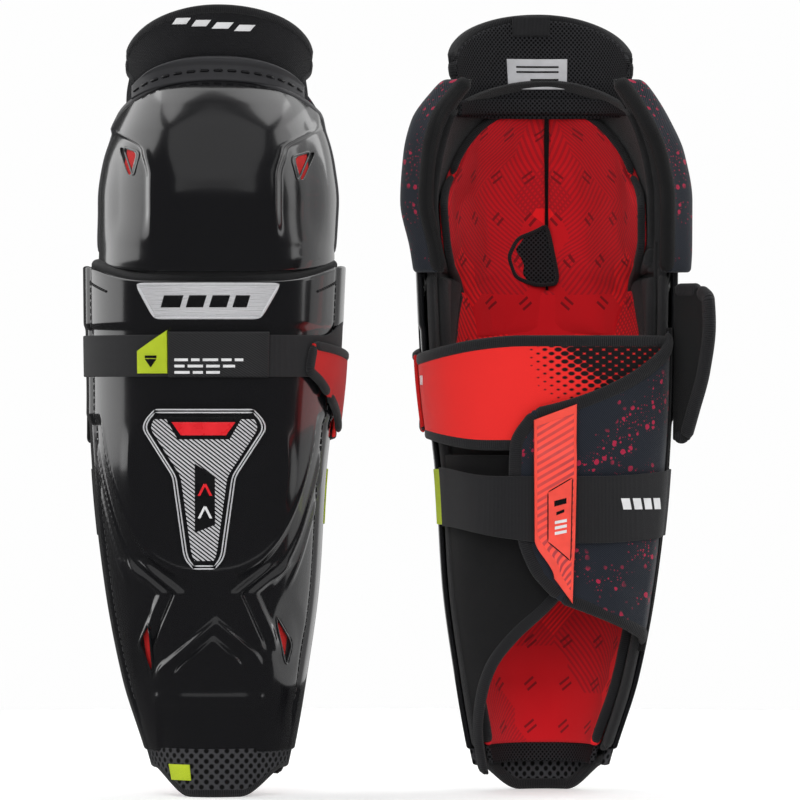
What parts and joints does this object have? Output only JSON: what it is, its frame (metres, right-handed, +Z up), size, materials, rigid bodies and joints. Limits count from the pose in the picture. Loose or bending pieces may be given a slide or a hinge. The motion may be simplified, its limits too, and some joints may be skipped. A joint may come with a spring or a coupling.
{
  "type": "hockey shin guards",
  "caption": "Hockey shin guards with glossy shin and knee shells, padded liners, a thigh flap, elastic straps, a calf wrap and hinged calf flaps.",
  "frame": {"origin": "centre of the bottom of the pair, where the ankle cuffs stand on the floor", "axes": "+Z up along the legs, +X from guard A to guard B, +Y to the back of guard A and the front of guard B"},
  "size_m": [0.4108, 0.188, 0.498],
  "materials": {
    "shell": "glossy black",
    "silver": "brushed silver",
    "foam": "black knit over foam",
    "liner": "red printed brushed knit",
    "cuff": "dark grey spacer mesh",
    "elastic": "black ribbed elastic",
    "neon": "neon yellow-green",
    "rubber_patch": "black moulded rubber",
    "wrap": "red stretch fabric with black print",
    "mesh": "black mesh",
    "pad_fabric": "navy-black twill with crimson print",
    "rim": "satin black moulded rim",
    "flap_canvas": "black canvas",
    "calf_twill": "navy-black twill with crimson print",
    "keeper": "coral red rubber",
    "wing": "black knit with ribbed binding"
  },
  "bodies": {
    "guard_a_shin": {"guard_a_shin_shell": "shell", "guard_a_nameplate": "silver", "guard_a_badge": "silver", "guard_a_shin_foam": "foam", "guard_a_shin_liner": "liner", "guard_a_ankle_cuff": "cuff", "guard_a_front_strap": "elastic", "guard_a_strap_tag": "neon", "guard_a_strap_patch": "rubber_patch", "guard_a_calf_wrap_anchor": "wrap"},
    "guard_a_knee": {"guard_a_knee_shell": "shell", "guard_a_knee_foam": "foam", "guard_a_knee_liner_inner": "liner", "guard_a_knee_liner_outer": "liner", "guard_a_patella_mesh": "mesh", "guard_a_knee_pad_inner": "pad_fabric", "guard_a_knee_pad_outer": "pad_fabric", "guard_a_knee_roll": "foam", "guard_a_rim_band": "rim"},
    "guard_a_thigh_flap": {"guard_a_thigh_flap": "flap_canvas", "guard_a_hang_loop": "elastic"},
    "guard_a_calf_flap": {"guard_a_calf_flap": "calf_twill", "guard_a_strap_keeper": "keeper", "guard_a_lower_strap": "elastic", "guard_a_lower_strap_tag": "neon"},
    "guard_a_calf_wrap": {"guard_a_calf_wrap": "wrap"},
    "guard_a_hook_tab": {"guard_a_hook_tab": "wrap"},
    "guard_a_inner_wing": {"guard_a_inner_wing": "wing"},
    "guard_a_outer_wing": {"guard_a_outer_wing": "wing"},
    "guard_b_shin": {"guard_b_shin_shell": "shell", "guard_b_nameplate": "silver", "guard_b_badge": "silver", "guard_b_shin_foam": "foam", "guard_b_shin_liner": "liner", "guard_b_ankle_cuff": "cuff", "guard_b_front_strap": "elastic", "guard_b_strap_tag": "neon", "guard_b_strap_patch": "rubber_patch", "guard_b_calf_wrap_anchor": "wrap"},
    "guard_b_knee": {"guard_b_knee_shell": "shell", "guard_b_knee_foam": "foam", "guard_b_knee_liner_inner": "liner", "guard_b_knee_liner_outer": "liner", "guard_b_patella_mesh": "mesh", "guard_b_knee_pad_inner": "pad_fabric", "guard_b_knee_pad_outer": "pad_fabric", "guard_b_knee_roll": "foam", "guard_b_rim_band": "rim"},
    "guard_b_thigh_flap": {"guard_b_thigh_flap": "flap_canvas", "guard_b_hang_loop": "elastic"},
    "guard_b_calf_flap": {"guard_b_calf_flap": "calf_twill", "guard_b_strap_keeper": "keeper", "guard_b_lower_strap": "elastic", "guard_b_lower_strap_tag": "neon"},
    "guard_b_calf_wrap": {"guard_b_calf_wrap": "wrap"},
    "guard_b_hook_tab": {"guard_b_hook_tab": "wrap"},
    "guard_b_inner_wing": {"guard_b_inner_wing": "wing"},
    "guard_b_outer_wing": {"guard_b_outer_wing": "wing"}
  },
  "joints": [
    {"name": "guard_a_knee_hinge", "type": "hinge", "parent": "guard_a_shin", "child": "guard_a_knee", "pos_m": [-0.16174, 0.022, 0.32], "axis": [-1, 0, 0], "range_deg": [0, 20]},
    {"name": "guard_a_thigh_flap_hinge", "type": "hinge", "parent": "guard_a_knee", "child": "guard_a_thigh_flap", "pos_m": [-0.16174, -0.06094, 0.4645], "axis": [1, 0, 0], "range_deg": [0, 60]},
    {"name": "guard_a_calf_flap_hinge", "type": "hinge", "parent": "guard_a_shin", "child": "guard_a_calf_flap", "pos_m": [-0.17703, 0.00697, 0.094], "axis": [-0.0879, 0.0107, 0.9961], "range_deg": [0, 75]},
    {"name": "guard_a_outer_wing_hinge", "type": "hinge", "parent": "guard_a_calf_flap", "child": "guard_a_outer_wing", "pos_m": [-0.20036, 0.0105, 0.218], "axis": [0, 0, 1], "range_deg": [0, 45]},
    {"name": "guard_a_inner_wing_hinge", "type": "hinge", "parent": "guard_a_shin", "child": "guard_a_inner_wing", "pos_m": [-0.07029, 0.00516, 0.012], "axis": [0.1189, 0.0288, 0.9925], "range_deg": [-19, 0]},
    {"name": "guard_a_calf_wrap_hinge", "type": "hinge", "parent": "guard_a_shin", "child": "guard_a_calf_wrap", "pos_m": [-0.0847, 0.05046, 0.218], "axis": [0, 0, 1], "range_deg": [0, 35]},
    {"name": "guard_a_hook_tab_hinge", "type": "hinge", "parent": "guard_a_calf_wrap", "child": "guard_a_hook_tab", "pos_m": [-0.03317, -0.00662, 0.218], "axis": [0, 0, 1], "range_deg": [0, 75]},
    {"name": "guard_b_knee_hinge", "type": "hinge", "parent": "guard_b_shin", "child": "guard_b_knee", "pos_m": [0.14926, -0.022, 0.32], "axis": [1, 0, 0], "range_deg": [0, 20]},
    {"name": "guard_b_thigh_flap_hinge", "type": "hinge", "parent": "guard_b_knee", "child": "guard_b_thigh_flap", "pos_m": [0.14926, 0.06094, 0.4645], "axis": [-1, 0, 0], "range_deg": [0, 60]},
    {"name": "guard_b_calf_flap_hinge", "type": "hinge", "parent": "guard_b_shin", "child": "guard_b_calf_flap", "pos_m": [0.16455, -0.00697, 0.094], "axis": [0.0879, -0.0107, 0.9961], "range_deg": [0, 75]},
    {"name": "guard_b_outer_wing_hinge", "type": "hinge", "parent": "guard_b_calf_flap", "child": "guard_b_outer_wing", "pos_m": [0.18788, -0.0105, 0.218], "axis": [0, 0, 1], "range_deg": [-32, 13]},
    {"name": "guard_b_inner_wing_hinge", "type": "hinge", "parent": "guard_b_shin", "child": "guard_b_inner_wing", "pos_m": [0.05781, -0.00516, 0.012], "axis": [-0.1189, -0.0288, 0.9925], "range_deg": [-19, 0]},
    {"name": "guard_b_calf_wrap_hinge", "type": "hinge", "parent": "guard_b_shin", "child": "guard_b_calf_wrap", "pos_m": [0.07222, -0.05046, 0.218], "axis": [0, 0, 1], "range_deg": [0, 35]},
    {"name": "guard_b_hook_tab_hinge", "type": "hinge", "parent": "guard_b_calf_wrap", "child": "guard_b_hook_tab", "pos_m": [0.02069, 0.00662, 0.218], "axis": [0, 0, 1], "range_deg": [0, 75]},
    {"name": "pair_slide", "type": "slide", "parent": "guard_a_shin", "child": "guard_b_shin", "axis": [1, 0, 0], "range_m": [0, 0.15]}
  ],
  "couplings": [
    {"joint": "guard_a_inner_wing_hinge", "follows": "guard_a_calf_flap_hinge", "ratio": -0.25},
    {"joint": "guard_b_inner_wing_hinge", "follows": "guard_b_calf_flap_hinge", "ratio": -0.25}
  ]
}
